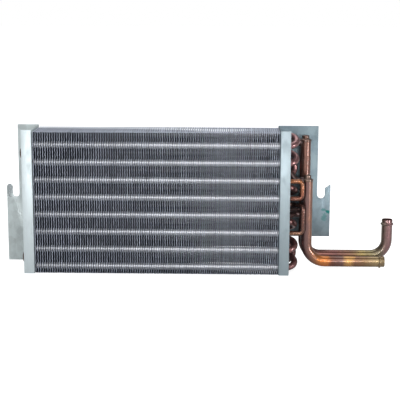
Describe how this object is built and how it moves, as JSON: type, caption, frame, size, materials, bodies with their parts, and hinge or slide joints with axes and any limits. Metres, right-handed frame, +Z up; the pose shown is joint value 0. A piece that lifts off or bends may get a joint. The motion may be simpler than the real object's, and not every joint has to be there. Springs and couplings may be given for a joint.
{
  "type": "heater core",
  "caption": "Fin-and-tube heater core: aluminium fin pack on copper tubes between folded end plates with hook slots, return bends and headers at one end, two beaded hose pipes.",
  "frame": {"origin": "below the middle of the whole assembly's box, at the height of the end plates' lower edges", "axes": "+X along the fin pack towards the hose pipes, +Y through the tube rows towards the hook brackets, +Z up along the end plates"},
  "size_m": [0.5761, 0.069, 0.2098],
  "materials": {
    "fins": "bright rolled foil",
    "galvanised_sheet": "galvanised, mottled",
    "copper": "bare copper",
    "tinted_copper": "copper tinted gold and orange by the brazing heat",
    "brown_copper": "copper darkened by the brazing heat"
  },
  "bodies": {
    "root": {"fin_pack": "fins", "left_end_plate": "galvanised_sheet", "right_end_plate": "galvanised_sheet", "hairpin_01": "copper", "hairpin_02": "copper", "hairpin_03": "copper", "hairpin_04": "copper", "hairpin_05": "copper", "hairpin_06": "copper", "hairpin_07": "copper", "hairpin_08": "copper", "hairpin_09": "copper", "hairpin_10": "copper", "hairpin_11": "copper", "hairpin_12": "copper", "return_bend_01": "copper", "return_bend_02": "copper", "return_bend_03": "copper", "return_bend_04": "copper", "return_bend_05": "copper", "return_bend_06": "copper", "return_bend_07": "copper", "return_bend_08": "copper", "crossover_upper": "copper", "crossover_lower": "copper", "inlet_stub_upper": "copper", "inlet_stub_lower": "copper", "outlet_stub_upper": "copper", "outlet_stub_lower": "copper", "inlet_pipe": "tinted_copper", "outlet_pipe": "brown_copper", "inlet_cap": "brown_copper", "outlet_cap": "brown_copper"}
  },
  "joints": []
}
